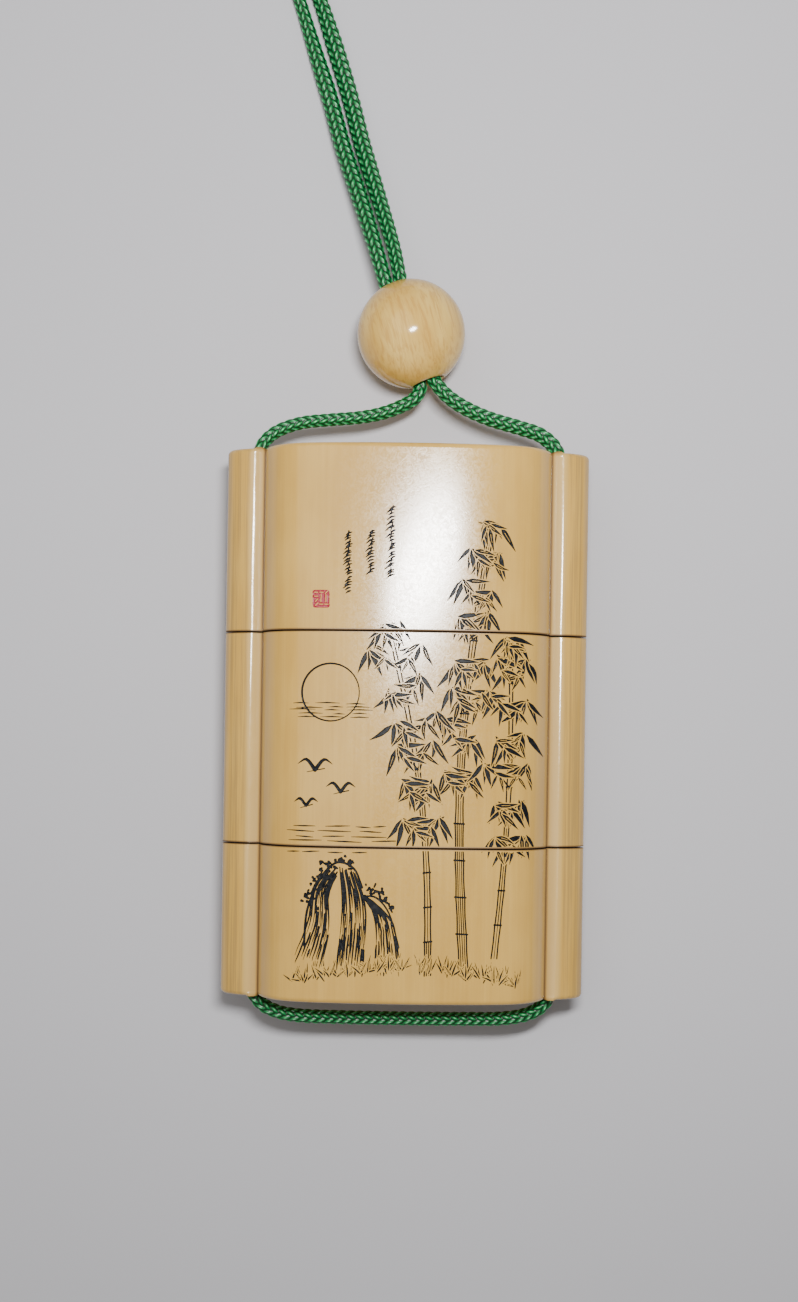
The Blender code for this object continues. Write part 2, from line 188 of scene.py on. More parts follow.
# Camera, lights and floor
FOCAL = 81.46
SENSOR = 36.0
SHIFT = 0.1115
CAMERA_AT = (-0.81 * MM, -2.29 * MM, 270.75 * MM)
CAMERA_ROLL = radians(0.85)
CLIP_FROM = 0.01
FLASH_AT = (17.0 * MM, 46.0 * MM, 268.0 * MM)
FLASH_AIM = (0.02, 0.15, 0.0)
FLASH_SIZE = (70 * MM, 30 * MM)
FLASH_TURN = radians(30)
FLASH_POWER = 1.1
SOFT_BOX_AT = (-0.45, 0.40, 1.30)
SOFT_BOX_SIZE = (1.2, 1.2)
SOFT_BOX_POWER = 3.8
WORLD_LIGHT = 0.24
FLOOR_REACH = 6.0
FLOOR_DROP = 0.05 * MM


def panel_drop(x):
    """How far the front, or the back, has fallen at x: a gentle arc, then a round shoulder."""
    share = abs(x) / (PANEL_WIDTH / 2)
    return PANEL_ARC * share**2 + SHOULDER * share**SHOULDER_POWER


def panel_slope(x):
    share = abs(x) / (PANEL_WIDTH / 2)
    rate = 2 * PANEL_ARC * share + SHOULDER_POWER * SHOULDER * share ** (SHOULDER_POWER - 1)
    return rate / (PANEL_WIDTH / 2)


def panel_places(reach):
    """Distances from the middle out to reach, closer together where the panel bends more."""
    count = PANEL_STEPS // 2
    return [reach * (step / count) ** PANEL_CROWDING for step in range(count + 1)]


MIDDLE_HEIGHT = CASE_DEPTH / 2 - panel_drop(BACK_FLAT / 2)


def front_quarter():
    """Right front quarter of the case's outline, from the panel's middle to the side."""
    half = PANEL_WIDTH / 2
    points = [(x, CASE_DEPTH / 2 - panel_drop(x)) for x in panel_places(half)]
    edge = points[-1][1]
    crest_height = edge - GROOVE_STEP + CREST_LIFT
    crest_x = half + RUNNER_CREST
    points.append((half + GROOVE_SLANT, edge - GROOVE_STEP))
    for share in LAND_PLACES:
        rise = CREST_LIFT * share + LAND_BULGE * sin(pi * share)
        x = half + GROOVE_SLANT + (RUNNER_CREST - GROOVE_SLANT) * share
        points.append((x, edge - GROOVE_STEP + rise))
    side = CASE_WIDTH / 2 - crest_x
    for step in range(RUNNER_STEPS + 1):
        turn = pi / 2 * step / RUNNER_STEPS
        out = side * sin(turn) ** CREST_SHARPNESS
        points.append((crest_x + out, crest_height * cos(turn)))
    return points


def case_outline():
    """Whole outline of the case, anticlockwise seen from the lid's end, back flattened."""
    quarter = front_quarter()
    front = [(-x, h) for x, h in reversed(quarter[1:])] + quarter
    clear = BACK_FLAT / 2 + PANEL_WIDTH / PANEL_STEPS / 4
    back = [(x, -h) for x, h in reversed(front[1:-1]) if abs(x) > clear]
    right = [point for point in back if point[0] > 0]
    left = [point for point in back if point[0] < 0]
    return front + right + [(BACK_FLAT / 2, -MIDDLE_HEIGHT), (-BACK_FLAT / 2, -MIDDLE_HEIGHT)] + left


def cavity_outline(inset):
    """Outline of the room inside: the panels' curves under their walls, and round corners."""
    wall = WALL + inset
    round_off = max(CAVITY_CORNER - inset, CAVITY_CORNER / 4)
    corner_x = CAVITY_WIDTH / 2 - inset - round_off
    quarter = []
    for x in panel_places(corner_x):
        through = wall * hypot(1.0, panel_slope(x))
        quarter.append((x, CASE_DEPTH / 2 - panel_drop(x) - through))
    slope = atan(panel_slope(corner_x))
    corner_height = quarter[-1][1] - round_off * cos(slope)
    for step in range(1, CORNER_STEPS + 1):
        turn = slope + (pi / 2 - slope) * step / CORNER_STEPS
        x = corner_x + round_off * sin(turn)
        quarter.append((x, corner_height + round_off * cos(turn)))
    front = [(-x, h) for x, h in reversed(quarter[1:])] + quarter
    return front + [(x, -h) for x, h in reversed(front)]


def inward(outline, distance):
    """The outline moved inwards by a distance, along the mean of its edges' directions."""
    corners = [Vector(point) for point in outline]
    moved = []
    for before, here, after in zip(corners[-1:] + corners[:-1], corners, corners[1:] + corners[:1]):
        along = (here - before).normalized() + (after - here).normalized()
        normal = Vector((along.y, -along.x)).normalized()
        if normal.dot(here) > 0:
            normal.negate()
        moved.append(tuple(here + normal * distance))
    return moved


def add_object(name, data):
    obj = bpy.data.objects.new(name, data)
    bpy.context.collection.objects.link(obj)
    return obj


def link(name, mesh):
    """Object of a finished bmesh."""
    data = bpy.data.meshes.new(name)
    mesh.to_mesh(data)
    mesh.free()
    return add_object(name, data)


def loft(name, rings, closed=False):
    """Solid through rings of the same number of points, with flat ends or closed in a loop."""
    mesh = bmesh.new()
    rows = [[mesh.verts.new(point) for point in ring] for ring in rings]
    count = len(rows[0])
    for low, high in zip(rows, rows[1:] + (rows[:1] if closed else [])):
        for index in range(count):
            after = (index + 1) % count
            mesh.faces.new((low[index], low[after], high[after], high[index]))
    if not closed:
        mesh.faces.new(rows[0])
        mesh.faces.new(rows[-1])
    bmesh.ops.recalc_face_normals(mesh, faces=mesh.faces)
    return link(name, mesh)


def ring_at(outline, y):
    return [(x, y, MIDDLE_HEIGHT + h) for x, h in outline]


def end_rings(outline, y, way, amount):
    """Rings of an end at y, rounded by an amount, from its flat to the whole outline."""
    rings = []
    for step in range(ROUND_STEPS if amount else 0):
        turn = pi / 2 * step / ROUND_STEPS
        inset = inward(outline, amount * (1 - sin(turn)))
        rings.append(ring_at(inset, y + way * amount * (1 - cos(turn))))
    return rings + [ring_at(outline, y + way * amount)]


def prism(name, outline, low, high, low_round=0.0, high_round=0.0):
    """Length of an outline from y = low to y = high, with its ends rounded by that much."""
    upper = end_rings(outline, high, -1, high_round)
    return loft(name, end_rings(outline, low, 1, low_round) + upper[::-1])


def apply_boolean(obj, other, operation):
    """Cut or join the object with another one, which goes."""
    step = obj.modifiers.new(operation.lower(), "BOOLEAN")
    step.object = other
    step.operation = operation
    step.solver = "EXACT"
    graph = bpy.context.evaluated_depsgraph_get()
    result = bpy.data.meshes.new_from_object(obj.evaluated_get(graph))
    obj.modifiers.clear()
    obj.data = result
    bpy.data.objects.remove(other)


def runner_cutter(side, low, high, flare_low, flare_high):
    """Tool for the cord's bore in one runner, with a flare at an open end."""
    x = side * RUNNER_SPACING / 2
    bore = RUNNER_BORE / 2
    stations = []
    if flare_low:
        stations += [(low - RUNNER_FLARE, bore + 2 * RUNNER_FLARE), (low + RUNNER_FLARE, bore)]
    else:
        stations.append((low - OVERSHOOT, bore))
    if flare_high:
        stations += [(high - RUNNER_FLARE, bore), (high + RUNNER_FLARE, bore + 2 * RUNNER_FLARE)]
    else:
        stations.append((high + OVERSHOOT, bore))
    turns = [2 * pi * index / BORE_SIDES for index in range(BORE_SIDES)]
    rings = []
    for y, radius in stations:
        rings.append([(x + radius * cos(turn), y, MIDDLE_HEIGHT + radius * sin(turn)) for turn in turns])
    return loft("runner_cutter", rings)


def section(name, low, high, low_round, high_round, socket_to, room_from):
    """Section of the case as a shell, and the ends of its straight front.

    The lid has no riser and room from above, and the lowest section has no socket.
    """
    is_lid = room_from is None
    is_base = socket_to is None
    start = low if is_base else low - SEAM_CLOSED
    shell = prism(name, case_outline(), start, high, low_round, high_round)
    if not is_lid:
        riser = prism("riser", cavity_outline(RISER_GAP), high - OVERSHOOT, high + RISER_HEIGHT)
        apply_boolean(shell, riser, "UNION")
    if not is_base:
        socket = prism("socket", cavity_outline(0.0), low - OVERSHOOT, socket_to)
        apply_boolean(shell, socket, "DIFFERENCE")
    if not is_lid:
        inner = cavity_outline(RISER_GAP + RISER_WALL)
        room = prism("room", inner, room_from, high + RISER_HEIGHT + OVERSHOOT)
        apply_boolean(shell, room, "DIFFERENCE")
    for side in (-1, 1):
        apply_boolean(shell, runner_cutter(side, low, high, is_base, is_lid), "DIFFERENCE")
    return shell, start + low_round, high - high_round


class Drawing:
    """Strokes on the front: at each point of a grid, how far it lies inside the nearest one."""

    def __init__(self):
        columns = int(2 * PANEL_HALF_MM / DRAW_STEP) + 1
        rows = int(CASE_LENGTH / MM / DRAW_STEP) + 1
        self.x = -PANEL_HALF_MM + DRAW_STEP * np.arange(columns)
        self.y = CASE_BOTTOM_MM + DRAW_STEP * np.arange(rows)
        self.field = np.full((rows, columns), -1.0)

    def window(self, corners, reach):
        """Rows and columns of the grid from one corner to the other, with room round them."""
        spans = []
        for start, ends in ((CASE_BOTTOM_MM, corners[1::2]), (-PANEL_HALF_MM, corners[::2])):
            first = int((min(ends) - start - reach) / DRAW_STEP)
            last = int((max(ends) - start + reach) / DRAW_STEP) + 2
            spans.append(slice(max(first, 0), max(last, 0)))
        return spans

    def stroke(self, points, widths, clear=False):
        """Line through the points, as wide as given along it. A clear one takes ink away."""
        count = len(points) - 1
        shares = np.linspace(0, len(widths) - 1, count + 1)
        radii = np.interp(shares, range(len(widths)), widths) / 2
        for index in range(count):
            (ax, ay), (bx, by) = points[index], points[index + 1]
            reach = max(radii[index], radii[index + 1]) + 4 * DRAW_STEP
            rows, columns = self.window((ax, ay, bx, by), reach)
            x = self.x[columns][None, :]
            y = self.y[rows][:, None]
            length = max((bx - ax) ** 2 + (by - ay) ** 2, 1e-9)
            share = np.clip(((x - ax) * (bx - ax) + (y - ay) * (by - ay)) / length, 0, 1)
            away = np.hypot(x - ax - share * (bx - ax), y - ay - share * (by - ay))
            inside = radii[index] + (radii[index + 1] - radii[index]) * share - away
            part = self.field[rows, columns]
            if clear:
                np.minimum(part, -inside, out=part)
            else:
                np.maximum(part, inside, out=part)

    def within(self, low, high):
        """The field of one section's front, from y = low to y = high, clear of its edges."""
        ends = np.minimum(self.y - low, high - self.y)[:, None] - EDGE_MARGIN
        sides = (PANEL_HALF_MM - np.abs(self.x))[None, :] - EDGE_MARGIN
        return np.minimum(self.field, np.minimum(ends, sides))


def sample(field, x, y):
    """Value of a section's field at points, between the grid's own."""
    column = np.clip((x + PANEL_HALF_MM) / DRAW_STEP, 0, field.shape[1] - 1.001)
    row = np.clip((y - CASE_BOTTOM_MM) / DRAW_STEP, 0, field.shape[0] - 1.001)
    c = column.astype(int)
    r = row.astype(int)
    u = column - c
    v = row - r
    near = field[r, c] * (1 - u) + field[r, c + 1] * u
    far = field[r + 1, c] * (1 - u) + field[r + 1, c + 1] * u
    return near * (1 - v) + far * v


def outlines(field):
    """Closed lines along which the field is nought, as lists of (x, y)."""
    inside = field > 0
    rows, columns = field.shape
    places = np.zeros((0, 2))
    numbers = []
    for aside, up in ((1, 0), (0, 1)):
        crossed = inside[:rows - up, :columns - aside] != inside[up:, aside:]
        number = np.full(crossed.shape, -1)
        number[crossed] = len(places) + np.arange(crossed.sum())
        numbers.append(number)
        r, c = np.nonzero(crossed)
        share = field[r, c] / (field[r, c] - field[r + up, c + aside])
        places = np.vstack((places, np.column_stack((c + aside * share, r + up * share))))
    places = places * DRAW_STEP + (-PANEL_HALF_MM, CASE_BOTTOM_MM)
    across, along = numbers
    cells = np.stack((across[:-1], along[:, 1:], across[1:], along[:, :-1]), axis=2)
    joined = [[] for _ in places]
    for r, c in zip(*np.nonzero(cells.max(axis=2) >= 0)):
        ends = [n for n in cells[r, c] if n >= 0]
        if len(ends) == 2:
            pairs = [ends]
        else:
            middle = field[r:r + 2, c:c + 2].sum() > 0
            pairs = [(ends[0], ends[1]), (ends[2], ends[3])]
            if middle != inside[r, c]:
                pairs = [(ends[0], ends[3]), (ends[1], ends[2])]
        for a, b in pairs:
            joined[a].append(b)
            joined[b].append(a)
    lines = []
    used = [False] * len(places)
    for start in range(len(places)):
        if used[start]:
            continue
        line = []
        here = start
        while not used[here]:
            used[here] = True
            line.append(places[here])
            onward = [n for n in joined[here] if not used[n]]
            if onward:
                here = onward[0]
        lines.append(np.array(line))
    return lines


def thinned(line):
    """The closed line without the points that its shape doesn't need."""
    kept = [0]
    anchor = 0
    count = len(line)
    for index in range(2, count + 1):
        a = line[anchor]
        b = line[index % count]
        between = line[anchor + 1:index]
        chord = b - a
        length = hypot(*chord)
        if length < 1e-9:
            continue
        away = np.abs((between[:, 0] - a[0]) * chord[1] - (between[:, 1] - a[1]) * chord[0]) / length
        if away.max() > LINE_SLACK or length > LONGEST_CHORD:
            anchor = index - 1
            kept.append(anchor)
    return line[kept]


def smoothed(points, steps=5):
    """More points on a soft curve through the given ones."""
    ends = [2 * np.array(points[0]) - points[1]] + [np.array(p, float) for p in points]
    ends.append(2 * ends[-1] - ends[-2])
    line = []
    for a, b, c, d in zip(ends, ends[1:], ends[2:], ends[3:]):
        for step in range(steps):
            t = step / steps
            line.append(0.5 * (2 * b + (c - a) * t + (2 * a - 5 * b + 4 * c - d) * t * t
                               + (3 * b - a - 3 * c + d) * t**3))
    line.append(ends[-2])
    return np.array(line)


def along_line(line, share):
    """Point at a share of a line's length."""
    steps = np.hypot(*np.diff(line, axis=0).T)
    places = np.concatenate(([0.0], np.cumsum(steps))) / steps.sum()
    return np.array([np.interp(share, places, line[:, 0]), np.interp(share, places, line[:, 1])])


def streams(pen, rng, outer, inner, pitch, hair):
    """Lines running down a slope side by side, from its outer edge to its inner one."""
    outer = smoothed(outer)
    inner = smoothed(inner)
    across = [np.hypot(*(along_line(outer, k / 6) - along_line(inner, k / 6))) for k in range(7)]
    count = max(int(max(across) / pitch), 2)
    for index in range(count):
        side = (index + 0.5 + rng.uniform(-0.3, 0.3)) / count
        start = abs(rng.gauss(0, 0.05))
        while start < 0.93:
            end = min(start + rng.uniform(0.3, 0.75), rng.uniform(0.92, 1.04))
            run_down(pen, rng, outer, inner, side, start, end, rng.uniform(0.2, 0.32))
            start = end + rng.uniform(0.0, 0.05)
        for _ in range(2):
            if rng.random() < hair:
                start = rng.uniform(0, 0.7)
                end = start + rng.uniform(0.15, 0.35)
                run_down(pen, rng, outer, inner, side + 0.5 / count, start, end, 0.12)


def run_down(pen, rng, outer, inner, side, start, end, width):
    """One tapered line of a slope, from one share of its length to another."""
    points = []
    for share in np.linspace(start, end, 8):
        share = min(share, 1.0)
        point = along_line(outer, share) * (1 - side) + along_line(inner, share) * side
        points.append(point + (rng.gauss(0, 0.025), rng.gauss(0, 0.025)))
    pen.stroke(points, (width * 0.7, width, width, width * 0.7, 0.06))


def branch(pen, points, thick, thin):
    pen.stroke(smoothed(points), (thick, (thick + thin) / 2, thin))


def moss(pen, rng, line, spacing, size):
    """Small blots along a line."""
    line = smoothed(line)
    length = np.hypot(*np.diff(line, axis=0).T).sum()
    for step in range(int(length / spacing)):
        x, y = along_line(line, (step + rng.random()) * spacing / length)
        for _ in range(rng.randint(2, 4)):
            centre = np.array((x + rng.gauss(0, 0.35), y + rng.gauss(0, 0.35)))
            across = rng.uniform(0.05, 0.25) * turned(rng.uniform(0, pi))
            pen.stroke([centre - across, centre + across], (size * 0.6, size * rng.uniform(0.7, 1.2)))


def turned(heading):
    return np.array((cos(heading), sin(heading)))


def leaf(pen, rng, start, heading, length, width):
    """Long pointed leaf, bent a little, kept clear of what it crosses, some with a midrib."""
    bend = rng.gauss(0, 0.12)
    middle = start + turned(heading) * length * 0.5
    tip = middle + turned(heading + bend) * length * 0.5
    line = smoothed([start, middle, tip], 4)
    widths = np.array((0.12, width, width * 0.9, width * 0.5, 0.05))
    pen.stroke(line, widths + 0.24, clear=True)
    pen.stroke(line, widths)
    if rng.random() < 0.4:
        pen.stroke(line[2:6], (0.08, 0.05), clear=True)


def spray(pen, rng, start, heading, count, length=3.5):
    """Leaves fanning out and down from a twig's end."""
    for step in range(count):
        aside = 0.95 * (2 * step / max(count - 1, 1) - 1) + rng.gauss(0, 0.14)
        reach = length * rng.uniform(0.7, 1.15)
        foot = start + (rng.gauss(0, 0.25), rng.gauss(0, 0.25))
        leaf(pen, rng, foot, heading + aside, reach, 0.19 * reach)


def cane(pen, rng, foot, top, bow, wide, joints):
    """Jointed cane, hatched along it. Gives its joints' places, and which way it heads there."""
    foot = np.array(foot)
    along = np.array(top) - foot
    across = np.array((along[1], -along[0])) / np.hypot(*along)
    places = []
    for index in range(joints + 1):
        aside = across * bow * sin(pi * index / joints)
        places.append(foot + along * index / joints + aside)
    for index in range(joints):
        start, end = places[index], places[index + 1]
        gap = (end - start) / np.hypot(*(end - start)) * 0.14
        broad = wide * (1 - 0.5 * index / joints)
        lines = max(int(broad / 0.22), 2)
        for step in range(lines):
            share = step / (lines - 1) - 0.5
            aside = across * broad * share
            width = 0.2 if abs(share) > 0.4 else rng.uniform(0.1, 0.16)
            waist = (start + end) / 2 + aside * 0.88
            line = smoothed([start + gap + aside, waist, end - gap + aside], 3)
            pen.stroke(line, (width, width))
        pen.stroke([end - across * broad * 0.62, end + across * broad * 0.62], (0.24, 0.2, 0.24))
    return places, atan2(along[1], along[0])


def bamboo(pen, rng):
    """Three canes with their leaves, from the bottom up to the right of the marks."""
    for foot, top, bow, wide, joints, bare in (
        ((8.6, -34.2), (11.6, 26.8), -2.2, 1.3, 12, 5),
        ((3.6, -35.0), (-2.2, 12.4), 1.8, 0.9, 10, 4),
        ((12.8, -32.6), (14.6, 10.6), 0.8, 0.8, 9, 3),
    ):
        places, heading = cane(pen, rng, foot, top, bow, wide, joints)
        for index in range(bare, joints + 1):
            for side in (-1, 1):
                reach = rng.uniform(2.4, 5.0) * (1.0 if index < joints else 0.4)
                lean = heading + side * rng.uniform(0.5, 0.95)
                end = places[index] + turned(lean) * reach
                end[0] = min(end[0], 16.6 + rng.gauss(0, 0.4))
                branch(pen, [places[index], (places[index] + end) / 2 + (0, 0.25), end], 0.24, 0.14)
                spray(pen, rng, end, side * rng.uniform(0.2, 0.7) - UP, rng.randint(5, 6))
                inner = (places[index] + end) / 2
                spray(pen, rng, inner, side * rng.uniform(0.1, 0.5) - UP, rng.randint(3, 4), 2.8)


def garden_rock(pen, rng):
    """Tall rock at the bottom left, hatched down its faces, with moss and grass about it."""
    streams(pen, rng, [(-9.6, -19.6), (-12.4, -22.6), (-13.2, -27.6), (-15.4, -33.4)],
            [(-8.8, -20.6), (-10.2, -24.0), (-10.0, -28.6), (-11.2, -34.2)], 0.4, 0.5)
    streams(pen, rng, [(-9.0, -19.8), (-8.6, -24.4), (-8.8, -28.8), (-9.4, -34.6)],
            [(-6.6, -20.6), (-5.0, -24.8), (-4.8, -29.2), (-5.2, -35.2)], 0.42, 0.5)
    streams(pen, rng, [(-6.0, -23.4), (-4.0, -26.4), (-3.6, -30.0), (-4.0, -35.0)],
            [(-4.4, -24.4), (-1.6, -27.0), (-0.6, -30.4), (0.2, -35.0)], 0.45, 0.2)
    tall = [(-13.6, -31.0), (-13.2, -26.0), (-11.4, -21.6), (-9.2, -19.4), (-6.8, -20.2), (-5.6, -22.8)]
    branch(pen, tall, 0.34, 0.3)
    branch(pen, [(-5.4, -24.0), (-3.6, -24.2), (-1.8, -26.4), (-0.4, -31.0)], 0.3, 0.2)
    moss(pen, rng, [(-13.4, -25.4), (-11.6, -21.2), (-9.2, -19.0), (-6.6, -19.8)], 0.55, 0.42)
    moss(pen, rng, [(-5.2, -23.4), (-3.2, -23.6), (-1.4, -26.2)], 0.6, 0.4)
    for _ in range(64):
        x = rng.uniform(-16.2, 16.2)
        foot = np.array((x, -35.4 + 1.1 * cos(x / 6.5) + rng.gauss(0, 0.25)))
        for _ in range(3):
            leaf(pen, rng, foot, UP + rng.gauss(0, 0.5), rng.uniform(1.2, 2.6), 0.24)


def moon_and_birds(pen, rng):
    """Thin ring of a low moon at the left, crossed by haze, with birds under it."""
    centre = np.array((-10.4, 4.2))
    ring = [centre + 4.0 * turned(radians(9) * k) for k in range(41)]
    pen.stroke(ring, (0.14, 0.26, 0.3, 0.2, 0.14))
    for drop in (1.6, 2.1, 2.5, 3.0, 3.5):
        x = -16.2 + rng.uniform(0, 1.5)
        while x < -6.0:
            length = rng.uniform(1.6, 4.2)
            y = centre[1] - drop + rng.gauss(0, 0.05)
            pen.stroke([(x, y), (x + length / 2, y + 0.06), (x + length, y)], (0.06, 0.2, 0.06))
            x += length + rng.uniform(0.3, 1.4)
    for x, y, size in ((-12.4, -6.6, 1.9), (-8.8, -9.6, 1.6), (-13.6, -11.6, 1.3)):
        body = np.array((x, y))
        for side in (-1, 1):
            elbow = body + size * turned(UP - side * 0.7)
            tip = body + size * 1.35 * turned(UP - side * 1.25)
            pen.stroke(smoothed([body, elbow, tip], 4), (0.5 * size / 1.6, 0.42, 0.06))
        pen.stroke([body - (0.6 * size, 0.3), body + (0.7 * size, 0.2)], (0.1, 0.5, 0.16))
    for y in (-14.4, -15.0, -15.8, -16.4, -18.0):
        x = -16.4 + rng.uniform(0, 1.5)
        while x < -3.5:
            length = rng.uniform(1.6, 5.0)
            rise = rng.gauss(0, 0.05)
            line = [(x, y), (x + length / 2, y + rise), (x + length, y + 2 * rise)]
            pen.stroke(line, (0.08, 0.22, 0.08))
            x += length + rng.uniform(0.3, 1.8)


def marks(pen, rng):
    """Three short columns of slanting brush marks in place of writing. They are no letters."""
    for x, top, count in ((-2.3, 29.9, 8), (-5.1, 26.7, 5), (-8.2, 26.4, 7)):
        for step in range(count):
            y = top - 1.22 * step
            for part in range(3):
                start = np.array((x + 0.45 + rng.gauss(0, 0.1), y - 0.36 * part + rng.gauss(0, 0.05)))
                reach = rng.uniform(0.6, 1.2)
                mark = [start, start - (reach * 0.5, 0.1), start - (reach, 0.5 * reach)]
                pen.stroke(smoothed(mark, 3), (0.14, 0.3, 0.1))
            if rng.random() < 0.6:
                pen.stroke([(x + rng.uniform(-0.1, 0.3), y + 0.2), (x - 0.1, y - 0.9)], (0.2, 0.12))


def seal(pen, rng):
    """Small red block with abstract clear lines in it."""
    for y in np.arange(SEAL_LOW[1] + SEAL_INSET, SEAL_HIGH[1] - SEAL_INSET + 0.01, 0.3):
        wobble = rng.gauss(0, 0.03)
        ends = (SEAL_LOW[0] + SEAL_INSET + wobble, SEAL_HIGH[0] - SEAL_INSET + wobble)
        pen.stroke([(x, y) for x in ends], (0.68, 0.68))
    for y in (16.4, 16.95, 17.5, 18.05):
        for x in (-12.6, -11.9, -11.2):
            turn = rng.choice((0.0, pi / 2, 0.8))
            across = 0.24 * turned(turn)
            centre = np.array((x + rng.gauss(0, 0.05), y))
            pen.stroke([centre - across, centre + across], (0.13, 0.13), clear=True)


def draw():
    pen = Drawing()
    rng = random.Random(41)
    moon_and_birds(pen, rng)
    bamboo(pen, rng)
    garden_rock(pen, rng)
    marks(pen, rng)
    seal(pen, rng)
    return pen


def front_face(face):
    """True for a shell's long faces on the front panel, the ones that the engraving replaces."""
    half = PANEL_WIDTH / 2 + ON_PANEL / 2
    along = [vert.co.y for vert in face.verts]
    if max(along) - min(along) < 5 * END_ROUND or face.normal.z < 0.3:
        return False
    for vert in face.verts:
        height = MIDDLE_HEIGHT + CASE_DEPTH / 2 - panel_drop(vert.co.x)
        if abs(vert.co.x) > half or abs(vert.co.z - height) > ON_PANEL:
            return False
    return True


def engrave(shell, pen, low, high, looks):
    """Give a section its engraved front in place of the plain one, and its materials."""
    mesh = bmesh.new()
    mesh.from_mesh(shell.data)
    bmesh.ops.delete(mesh, geom=[face for face in mesh.faces if front_face(face)], context="FACES")
    rim = [edge for edge in mesh.edges if len(edge.link_faces) == 1]
    rim_verts = sorted({vert for edge in rim for vert in edge.verts}, key=lambda vert: vert.index)
    number = {vert: index for index, vert in enumerate(rim_verts)}
    points = [(vert.co.x / MM, vert.co.y / MM) for vert in rim_verts]
    edges = [tuple(number[vert] for vert in edge.verts) for edge in rim]
    field = pen.within(low / MM, high / MM)
    for line in outlines(field):
        line = thinned(line)
        if len(line) < 3:
            continue
        start = len(points)
        points += [tuple(point) for point in line]
        edges += [(start + k, start + (k + 1) % len(line)) for k in range(len(line))]
    points += deep_points(field) + ground_points(field, low / MM, high / MM)
    found = delaunay_2d_cdt([Vector(point) for point in points], edges, [], 0, 1e-7, True)
    done, _, triangles, origins, _, _ = found
    x = np.array([p.x for p in done])
    y = np.array([p.y for p in done])
    depth = np.clip(sample(field, x, y) * CUT_SLOPE, 0, CUT_DEPTH)
    verts = []
    for index, sources in enumerate(origins):
        rim_index = min((k for k in sources if k < len(rim_verts)), default=None)
        if rim_index is not None:
            verts.append(rim_verts[rim_index])
            continue
        height = MIDDLE_HEIGHT + CASE_DEPTH / 2 - panel_drop(x[index] * MM) - depth[index] * MM
        verts.append(mesh.verts.new((x[index] * MM, y[index] * MM, height)))
    corners = np.array([tuple(t) for t in triangles])
    middle_x = x[corners].mean(axis=1)
    middle_y = y[corners].mean(axis=1)
    inked = sample(field, middle_x, middle_y) > 0
    red = (middle_x > SEAL_LOW[0]) & (middle_x < SEAL_HIGH[0])
    red &= (middle_y > SEAL_LOW[1]) & (middle_y < SEAL_HIGH[1])
    flat = np.column_stack((x, y))
    sides = flat[corners[:, 1:]] - flat[corners[:, :1]]
    turned_over = np.cross(sides[:, 0], sides[:, 1]) < 0
    skin = mesh.faces.layers.int.new("skin")
    for index, triangle in enumerate(triangles):
        order = [verts[k] for k in (reversed(triangle) if turned_over[index] else triangle)]
        if len(set(order)) < 3:
            continue
        face = mesh.faces.new(order)
        face.material_index = 0 if not inked[index] else 2 if red[index] else 1
        face[skin] = 2 if inked[index] else 1
    data = bpy.data.meshes.new(shell.name)
    mesh.to_mesh(data)
    mesh.free()
    shell.data = data
    for look in looks:
        data.materials.append(look)
    shade(data)


def shade(data):
    """Smooth normals, exact on the engraved front's ground and flat in its cuts."""
    data.shade_smooth()
    data.set_sharp_from_angle(angle=SMOOTH_BELOW)
    normals = np.zeros(len(data.loops) * 3)
    data.corner_normals.foreach_get("vector", normals)
    normals = normals.reshape(-1, 3)
    kinds = np.zeros(len(data.polygons), dtype=np.int32)
    data.attributes["skin"].data.foreach_get("value", kinds)
    for face, kind in zip(data.polygons, kinds):
        if kind == 2:
            normals[face.loop_start:face.loop_start + face.loop_total] = face.normal
        elif kind == 1:
            for corner in face.loop_indices:
                x = data.vertices[data.loops[corner].vertex_index].co.x
                slope = copysign(panel_slope(x), x)
                normals[corner] = np.array((slope, 0.0, 1.0)) / hypot(slope, 1.0)
    data.normals_split_custom_set(normals.tolist())
    data.attributes.remove(data.attributes["skin"])


def deep_points(field):
    """Places deepest in the strokes, one at most in each small square."""
    block = DEEP_BLOCK
    rows = field.shape[0] // block
    columns = field.shape[1] // block
    squares = field[:rows * block, :columns * block].reshape(rows, block, columns, block)
    squares = squares.transpose(0, 2, 1, 3).reshape(rows, columns, -1)
    r, c = np.nonzero(squares.max(axis=2) > DEEP_FROM)
    pick = squares.argmax(axis=2)[r, c]
    x = (c * block + pick % block) * DRAW_STEP - PANEL_HALF_MM
    y = (r * block + pick // block) * DRAW_STEP + CASE_BOTTOM_MM
    return list(zip(x.tolist(), y.tolist()))


def ground_points(field, low, high):
    """Points that carry the panel's curve where nothing is drawn."""
    across = int(2 * PANEL_HALF_MM / GROUND_ACROSS)
    columns = np.linspace(-PANEL_HALF_MM, PANEL_HALF_MM, across)[1:-1]
    rows = np.linspace(low, high, int((high - low) / GROUND_ALONG))[1:-1]
    x, y = np.meshgrid(columns, rows)
    x = x.ravel()
    y = y.ravel()
    clear = sample(field, x, y) < -GROUND_CLEAR
    return list(zip(x[clear].tolist(), y[clear].tolist()))


